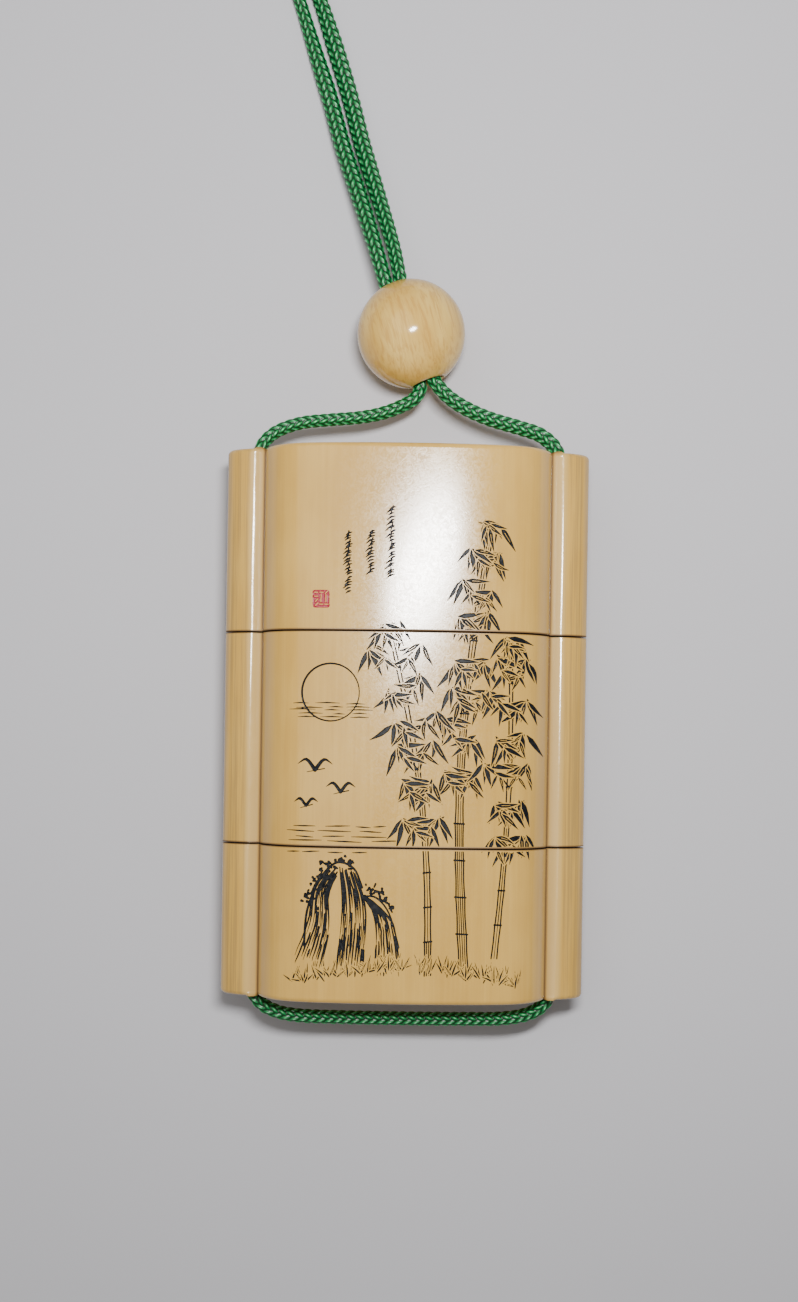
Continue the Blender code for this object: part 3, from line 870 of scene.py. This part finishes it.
class Nodes:
    """A material's nodes, wired in short lines."""

    def __init__(self, name):
        self.material = bpy.data.materials.new(name)
        self.material.use_nodes = True
        self.tree = self.material.node_tree
        self.shader = self.tree.nodes["Principled BSDF"]

    def add(self, kind, settings=None, **inputs):
        node = self.tree.nodes.new(kind)
        for name, value in (settings or {}).items():
            setattr(node, name, value)
        for name, value in inputs.items():
            key = int(name[1:]) if name[1:].isdigit() else name.replace("_", " ")
            self.set(node.inputs[key], value)
        return node.outputs[0]

    def set(self, socket, value):
        if isinstance(value, bpy.types.NodeSocket):
            self.tree.links.new(value, socket)
        else:
            socket.default_value = value

    def math(self, operation, a, b=0.0, c=0.0):
        return self.add("ShaderNodeMath", {"operation": operation}, i0=a, i1=b, i2=c)

    def times(self, a, b):
        return self.math("MULTIPLY", a, b)

    def apart(self, a, b):
        return self.math("ABSOLUTE", self.math("SUBTRACT", a, b))

    def place(self, scale, turn=(0.0, 0.0, 0.0)):
        """Place on the object in millimetres, stretched by a scale."""
        where = self.tree.nodes.new("ShaderNodeTexCoord").outputs["Object"]
        turned_place = self.add("ShaderNodeMapping", Vector=where, Rotation=turn)
        return self.add("ShaderNodeMapping", Vector=turned_place, Scale=tuple(k / MM for k in scale))

    def noise(self, scale, detail=3.0, roughness=0.5, turn=(0.0, 0.0, 0.0), bent=0.0):
        return self.add("ShaderNodeTexNoise", Vector=self.place(scale, turn), Scale=1.0, Detail=detail,
                        Roughness=roughness, Distortion=bent)

    def ramp(self, value, low, high, to_low=0.0, to_high=1.0):
        return self.add("ShaderNodeMapRange", {"interpolation_type": "SMOOTHSTEP"}, Value=value,
                        i1=low, i2=high, i3=to_low, i4=to_high)

    def bump(self, height, strength, distance):
        return self.add("ShaderNodeBump", Height=height, Strength=strength, Distance=distance * MM)

    def mix(self, share, a, b):
        node = self.tree.nodes.new("ShaderNodeMix")
        node.data_type = "RGBA"
        for index, value in ((0, share), (6, a), (7, b)):
            if index and not isinstance(value, bpy.types.NodeSocket):
                value = (*value, 1.0)
            self.set(node.inputs[index], value)
        return node.outputs[2]

    def look(self, colour, roughness, shine, relief=None):
        inputs = self.shader.inputs
        self.set(inputs["Base Color"], colour)
        self.set(inputs["Roughness"], roughness)
        inputs["Specular IOR Level"].default_value = shine
        if relief:
            self.set(inputs["Normal"], relief)
        return self.material


def bone_look():
    """Polished bone: cream to tan, with fine grain along the case and painted shade in the grooves."""
    nodes = Nodes("bone_polished")
    parts = nodes.tree.nodes.new("ShaderNodeSeparateXYZ")
    nodes.set(parts.inputs[0], nodes.place((1, 1, 1)))
    aside = nodes.math("ABSOLUTE", parts.outputs[0])
    streaks = nodes.noise((1.5, 0.03, 1.5), 4.0, 0.6)
    fine = nodes.noise((6.0, 0.15, 6.0), 2.0)
    broad = nodes.noise((0.16, 0.07, 0.16), 3.0, 0.55)
    grain = nodes.math("ADD", nodes.times(streaks, 0.4), nodes.times(broad, 0.6))
    colour = nodes.mix(nodes.ramp(grain, 0.34, 0.68), (0.58, 0.335, 0.065), (0.67, 0.405, 0.09))
    colour = nodes.mix(nodes.ramp(fine, 0.3, 0.7, 0.14, 0.0), colour, (0.46, 0.26, 0.06))
    # Painted highlight: a paler band on the runners' land, between the groove and the crest.
    pale = nodes.times(nodes.ramp(aside, 20.55, 20.9), nodes.ramp(aside, 22.9, 22.2))
    colour = nodes.mix(nodes.times(pale, 0.4), colour, (0.68, 0.49, 0.20))
    stripes = nodes.ramp(nodes.noise((2.0, 0.03, 2.0), 4.0, 0.65), 0.42, 0.6)
    stripes = nodes.times(nodes.ramp(aside, 22.2, 23.2), stripes)
    colour = nodes.mix(nodes.times(stripes, 0.6), colour, (0.34, 0.21, 0.07))
    off_groove = nodes.apart(aside, GROOVE_AT)
    # Darker within 2.6 mm of the groove, on either side of it.
    colour = nodes.mix(nodes.ramp(off_groove, 2.6, 0.2, 0.0, 0.3), colour, (0.38, 0.22, 0.09))
    ends = (LID_BOTTOM, MIDDLE_BOTTOM)
    off_seams = [nodes.apart(parts.outputs[1], (end - SEAM / 2) / MM) for end in ends]
    seams = nodes.ramp(nodes.math("MINIMUM", *off_seams), 0.34, 0.14, 0.0, 0.9)
    # Painted shade down in the groove, and the seams between the sections stained dark.
    groove_shade_and_seam_stain = nodes.math("MAXIMUM", nodes.ramp(off_groove, 0.42, 0.08, 0.0, 0.8), seams)
    colour = nodes.mix(groove_shade_and_seam_stain, colour, (0.11, 0.05, 0.015))
    curls = nodes.noise((1.1, 0.9, 1.1), 3.0, 0.6, bent=2.5)
    waves = nodes.times(nodes.noise((0.5, 0.14, 0.5), 2.0), nodes.ramp(aside, 20.3, 21.0))
    height = nodes.math("ADD", nodes.times(curls, 0.07), waves)
    relief = nodes.bump(height, 1.0, 0.06)
    gloss = nodes.math("MAXIMUM", nodes.ramp(curls, 0.3, 0.7, 0.13, 0.21), nodes.times(groove_shade_and_seam_stain, 0.7))
    return nodes.look(colour, gloss, 0.7, relief)


def bead_look():
    """The bead's polished bone, with its growth lines leaning."""
    nodes = Nodes("bead_polished")
    lean = (0.0, 0.0, radians(-16))
    lines = nodes.noise((2.8, 0.2, 1.0), 4.0, 0.55, lean, 0.6)
    fine = nodes.noise((7.0, 0.5, 3.0), 2.0, turn=lean)
    broad = nodes.noise((0.16, 0.08, 0.16), 2.0, turn=lean)
    colour = nodes.mix(nodes.ramp(broad, 0.35, 0.65), (0.62, 0.375, 0.08), (0.75, 0.50, 0.14))
    colour = nodes.mix(nodes.ramp(lines, 0.42, 0.66, 0.0, 0.5), colour, (0.44, 0.21, 0.04))
    gloss = nodes.ramp(lines, 0.3, 0.7, 0.11, 0.16)
    return nodes.look(colour, gloss, 0.4, nodes.bump(fine, 0.05, 0.01))


def ink_look():
    """Black ink rubbed into the cuts."""
    nodes = Nodes("rubbed_ink")
    worn = nodes.ramp(nodes.noise((2.2, 2.2, 2.2), 3.0, 0.6), 0.45, 0.75)
    colour = nodes.mix(worn, (0.006, 0.007, 0.009), (0.022, 0.022, 0.022))
    return nodes.look(colour, nodes.ramp(worn, 0.0, 1.0, 0.35, 0.5), 0.12)


def seal_look():
    """Red ink of the seal, worn pale in spots."""
    nodes = Nodes("seal_red")
    worn = nodes.ramp(nodes.noise((3.0, 3.0, 3.0), 3.0, 0.6), 0.5, 0.72, 0.0, 0.6)
    colour = nodes.mix(worn, (0.34, 0.008, 0.03), (0.60, 0.20, 0.16))
    return nodes.look(colour, nodes.ramp(worn, 0.0, 1.0, 0.4, 0.5), 0.5)


def cord_look():
    """Satin green braid, with painted shade between its stitches and painted glints on their tips."""
    nodes = Nodes("green_braid")
    nodes.add("ShaderNodeAttribute", {"attribute_name": "ridge"})
    height = nodes.tree.nodes[-1].outputs["Fac"]
    patch = nodes.noise((0.5, 0.5, 0.5), 2.0)
    thread = nodes.noise((9.0, 9.0, 9.0), 2.0)
    # Painted glints: pale mint on the stitches' highest tips.
    painted_glint = nodes.mix(nodes.ramp(patch, 0.35, 0.65), (0.12, 0.66, 0.24), (0.24, 0.80, 0.38))
    # Painted shade: darker down between the stitches, by the height of the ridge.
    colour = nodes.mix(nodes.ramp(height, 0.35, 0.8), (0.001, 0.035, 0.007), (0.014, 0.23, 0.06))
    colour = nodes.mix(nodes.ramp(height, 0.87, 0.99), colour, painted_glint)
    gloss = nodes.ramp(thread, 0.3, 0.7, 0.26, 0.38)
    return nodes.look(colour, gloss, 0.3, nodes.bump(thread, 0.25, 0.03))


def floor_look():
    nodes = Nodes("pale_floor")
    patch = nodes.noise((0.01, 0.01, 0.01), 2.0)
    colour = nodes.mix(patch, (0.50, 0.49, 0.51), (0.54, 0.53, 0.55))
    return nodes.look(colour, 0.8, 0.5)


def bead_axes():
    """The bead's bore direction, away from the case, and the direction across its cords."""
    bore = Vector((-sin(BEAD_TURN), cos(BEAD_TURN), 0.0))
    across = Vector((cos(BEAD_TURN), sin(BEAD_TURN), 0.0))
    return bore, across


def make_bead():
    """Ball with a bore for the doubled cord and softened mouths."""
    ball = BEAD / 2
    bore = MOUTH / 2
    reach = acos((bore + MOUTH_LIP) / ball)
    profile = []
    for step in range(BEAD_RINGS + 1):
        turn = -reach + 2 * reach * step / BEAD_RINGS
        profile.append((ball * cos(turn), ball * sin(turn)))
    lip = ball * sin(reach)
    mouth = []
    for step in range(1, ROUND_STEPS + 1):
        turn = pi / 2 * step / ROUND_STEPS
        mouth.append((bore + MOUTH_LIP * (1 - sin(turn)), lip - MOUTH_LIP * (1 - cos(turn))))
    profile += mouth + [(radius, -height) for radius, height in reversed(mouth)]
    direction, across = bead_axes()
    aside = direction.cross(across)
    rings = []
    for step in range(BEAD_SIDES):
        turn = 2 * pi * step / BEAD_SIDES
        out = across * cos(turn) + aside * sin(turn)
        rings.append([BEAD_CENTRE + out * radius + direction * height for radius, height in profile])
    bead = loft("bead_polished", rings, closed=True)
    bead.data.shade_smooth()
    bead.data.set_sharp_from_angle(angle=SMOOTH_BELOW)
    bead.data.materials.append(bead_look())
    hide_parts("ojime_bead")
    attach(bead, "root")


def curve_span(before, start, end, after):
    """One stretch of a centripetal Catmull-Rom curve, from start up to end."""
    t1 = (start - before).length ** 0.5
    t2 = t1 + (end - start).length ** 0.5
    t3 = t2 + (after - end).length ** 0.5
    points = []
    for step in range(SPAN_STEPS):
        t = t1 + (t2 - t1) * step / SPAN_STEPS
        a1 = before.lerp(start, t / t1)
        a2 = start.lerp(end, (t - t1) / (t2 - t1))
        a3 = end.lerp(after, (t - t2) / (t3 - t2))
        b1 = a1.lerp(a2, t / t2)
        b2 = a2.lerp(a3, (t - t1) / (t3 - t1))
        points.append(b1.lerp(b2, (t - t1) / (t2 - t1)))
    return points


def smooth_line(points):
    """Evenly spaced points along a smooth curve through the route's own points."""
    route = [Vector(point) for point in points]
    route = [2 * route[0] - route[1]] + route + [2 * route[-1] - route[-2]]
    dense = []
    for index in range(1, len(route) - 2):
        dense += curve_span(*route[index - 1:index + 3])
    dense.append(route[-2])
    line = np.array([tuple(point) for point in dense])
    steps = np.linalg.norm(np.diff(line, axis=0), axis=1)
    places = np.concatenate(([0.0], np.cumsum(steps)))
    even = np.linspace(0, places[-1], int(places[-1] / BRAID_STEP) + 1)
    return np.column_stack([np.interp(even, places, line[:, k]) for k in range(3)])


def turn_in(side):
    """One strand's turn round the coil, then inwards to the knot. The left one lies outside."""
    start = COIL_ACROSS / 2 - side * TURN_PITCH / 2
    route = []
    for step in range(1, TURN_STEPS + 1):
        gone = TURN_STEP * step
        radius = start - INWARD_RATE * max(0.0, gone - INWARD_FROM)
        if radius < KNOT / 3:
            break
        turn = pi - gone
        route.append(COIL_CENTRE + radius * Vector((cos(turn), sin(turn), 0.0)))
    return [COIL_CENTRE - Vector((start, 0.0, 0.0))] + route


def strand_route(side, bridle, strand):
    """Route of one strand, from its runner's mouth through the bead and round the coil."""
    bore, across = bead_axes()
    runner = side * RUNNER_SPACING / 2
    route = [
        Vector((runner, CASE_TOP - RUNNER_FLARE - RUNNER_PLAY, MIDDLE_HEIGHT)),
        Vector((runner - side * MOUTH_LEAN, CASE_TOP + CORD_GAP, MIDDLE_HEIGHT)),
    ]
    route += [Vector((0.0, CASE_TOP, 0.0)) + Vector(point) * MM for point in bridle]
    for share, apart, stacked, aside in BEAD_RUN:
        offset = across * (side * apart * MM / 2 - aside * MM)
        offset += Vector((0.0, 0.0, side * stacked * MM / 2))
        route.append(BEAD_CENTRE + bore * BEAD * share + offset)
    route += [Vector((0.0, CASE_TOP, 0.0)) + Vector(point) * MM for point in strand]
    return route + turn_in(side)


def lacing_route():
    """Route of the held stretch: down one runner, across under the base and up the other."""
    runner = RUNNER_SPACING / 2
    start = CASE_TOP - RUNNER_FLARE - RUNNER_PLAY - 2 * CORD_GAP
    down = [Vector((runner, start * share, MIDDLE_HEIGHT)) for share in (1.0, 0.5, 0.0, -0.5)]
    for inward_by, below, lower_by in BASE_CORNER:
        corner = Vector((-inward_by, -below, -lower_by)) * MM
        down.append(Vector((runner, CASE_BOTTOM, MIDDLE_HEIGHT)) + corner)
    return [Vector((-x, y, z)) for x, y, z in down] + list(reversed(down))


def braid(name, line, look, thick, closed=False):
    """Round cord along a line, in rows of slanting stitches, as thick at each point as given."""
    ahead = np.roll(line, -1, axis=0) - np.roll(line, 1, axis=0)
    if not closed:
        ahead[0] = line[1] - line[0]
        ahead[-1] = line[-1] - line[-2]
    ahead /= np.linalg.norm(ahead, axis=1)[:, None]
    side = np.zeros_like(line)
    held = np.cross(ahead[0], (0.0, 0.0, 1.0))
    for index in range(len(line)):
        held = held - ahead[index] * held.dot(ahead[index])
        held /= np.linalg.norm(held)
        side[index] = held
    up = np.cross(side, ahead)
    gone = np.concatenate(([0.0], np.cumsum(np.linalg.norm(np.diff(line, axis=0), axis=1))))
    turns = np.arange(BRAID_SIDES) / BRAID_SIDES
    pitch = gone[-1] / round(gone[-1] / BRAID_LENGTH)
    stitches = np.floor(BRAID_ROWS * turns + 1e-6)[None, :]
    within = (BRAID_ROWS * turns - stitches + 0.5 / (BRAID_SIDES / BRAID_ROWS)) % 1
    lean = np.where(stitches % 2 < 1, 1, -1)
    long = (gone[:, None] / pitch + STITCH_LEAN * lean * (within - 0.5) + STITCH_SHIFT * lean) % 1
    ridge = np.sin(np.pi * long) ** STITCH_ENDS * np.sin(np.pi * within) ** STITCH_SIDES
    radius = CORD / 2 * thick[:, None] * (1 - BRAID_DEPTH * (1 - ridge))
    round_turn = 2 * np.pi * turns[None, :, None]
    out = np.cos(round_turn) * side[:, None, :] + np.sin(round_turn) * up[:, None, :]
    rings = line[:, None, :] + radius[:, :, None] * out
    cord = loft(name, rings.tolist(), closed)
    cord.data.attributes.new("ridge", "FLOAT", "POINT").data.foreach_set("value", ridge.ravel())
    cord.data.materials.append(look)
    cord.data.shade_smooth()
    return cord


def knot_line():
    """Closed line of a small tight knot round the middle of the coil."""
    aside = (KNOT / 2 - CORD / 2) / 3
    lift = (KNOT_HEIGHT - CORD) / 2
    points = []
    for step in range(KNOT_POINTS):
        t = 2 * pi * step / KNOT_POINTS
        x = aside * (sin(t) + 2 * sin(2 * t))
        y = aside * (cos(t) - 2 * cos(2 * t))
        z = KNOT_HEIGHT / 2 + CORD_LIFT - lift * sin(3 * t)
        points.append((COIL_CENTRE.x + x, COIL_CENTRE.y + y, z))
    return np.array(points)


def make_case():
    looks = [bone_look(), ink_look(), seal_look()]
    pen = draw()
    ceiling = MIDDLE_BOTTOM + RISER_HEIGHT - SEAM + RISER_END_GAP
    for name, node, *sizes in (
        ("lid_engraved", "lid",
         LID_BOTTOM, CASE_TOP, EDGE_WEAR, END_ROUND, CASE_TOP - END_WALL, None),
        ("middle_engraved", "middle_case",
         MIDDLE_BOTTOM, MIDDLE_TOP, EDGE_WEAR, EDGE_WEAR, ceiling, ceiling + MIDDLE_FLOOR),
        ("lower_engraved", "lower_case",
         CASE_BOTTOM, LOWER_TOP, END_ROUND, EDGE_WEAR, None, CASE_BOTTOM + END_WALL),
    ):
        shell, low, high = section(name, *sizes)
        engrave(shell, pen, low, high, looks)
        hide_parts(node)
        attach(shell, "root")


def make_cords():
    look = cord_look()
    line = knot_line()
    knot = braid("knot_tied", line, look, np.ones(len(line)), closed=True)
    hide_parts("cord_knot")
    for name, side, bridle, strand, snug in (
        ("strand_left", -1, LEFT_BRIDLE, LEFT_STRAND, LEFT_SNUG),
        ("strand_right", 1, RIGHT_BRIDLE, RIGHT_STRAND, RIGHT_SNUG),
    ):
        line = smooth_line(strand_route(side, bridle, strand))
        gone = np.arange(len(line)) * BRAID_STEP / MM
        thick = np.interp(gone, THICK_AT, (snug, snug, HELD, HELD, EASED, SLACK, SLACK, HELD))
        line[:, 2] += CORD / 2 * np.maximum(thick - 1, 0)
        strand = braid(name, line, look, thick)
        nodes = ("cord_left", "cord_coil") if side < 0 else ("cord_right",)
        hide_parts(*nodes)
        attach(strand, "root")
    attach(knot, "root")
    line = smooth_line(lacing_route())
    lacing = braid("lacing", line, look, np.full(len(line), HELD))
    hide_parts("cord_lacing")
    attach(lacing, "root")


def area_light(name, place, target, size, power, turn=0.0):
    """Oval lamp, turned about the way that it shines."""
    lamp = bpy.data.lights.new(name, "AREA")
    lamp.shape = "ELLIPSE"
    lamp.size, lamp.size_y = size
    lamp.energy = power
    obj = add_object(name, lamp)
    obj.location = place
    aim = (Vector(target) - Vector(place)).to_track_quat("-Z", "Y")
    obj.rotation_euler = (aim @ Quaternion((0.0, 0.0, 1.0), turn)).to_euler()


def make_studio():
    floor = bmesh.new()
    bmesh.ops.create_grid(floor, x_segments=1, y_segments=1, size=FLOOR_REACH)
    floor = link("floor", floor)
    floor.location = (0.0, 0.0, -FLOOR_DROP)
    floor.data.materials.append(floor_look())
    area_light("flash", FLASH_AT, FLASH_AIM, FLASH_SIZE, FLASH_POWER, FLASH_TURN)
    area_light("soft_box", SOFT_BOX_AT, (0.0, 0.0, 0.0), SOFT_BOX_SIZE, SOFT_BOX_POWER)
    world = bpy.data.worlds.new("studio")
    world.use_nodes = True
    background = world.node_tree.nodes["Background"].inputs
    background["Color"].default_value = (1.0, 1.0, 1.0, 1.0)
    background["Strength"].default_value = WORLD_LIGHT
    bpy.context.scene.world = world


def make_camera():
    lens = bpy.data.cameras.new("camera")
    lens.sensor_fit = "HORIZONTAL"
    lens.sensor_width = SENSOR
    lens.lens = FOCAL
    lens.shift_y = SHIFT
    lens.clip_start = CLIP_FROM
    camera = add_object("camera", lens)
    camera.location = CAMERA_AT
    camera.rotation_euler = (0.0, 0.0, CAMERA_ROLL)
    bpy.context.scene.camera = camera


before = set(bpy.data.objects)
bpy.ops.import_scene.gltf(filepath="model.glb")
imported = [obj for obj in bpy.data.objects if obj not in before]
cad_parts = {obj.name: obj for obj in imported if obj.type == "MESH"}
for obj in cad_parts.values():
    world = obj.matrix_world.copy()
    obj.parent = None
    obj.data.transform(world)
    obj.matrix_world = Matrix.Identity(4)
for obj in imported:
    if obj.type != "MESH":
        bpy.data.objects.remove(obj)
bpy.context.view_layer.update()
make_camera()
make_cords()
make_case()
make_bead()
make_studio()
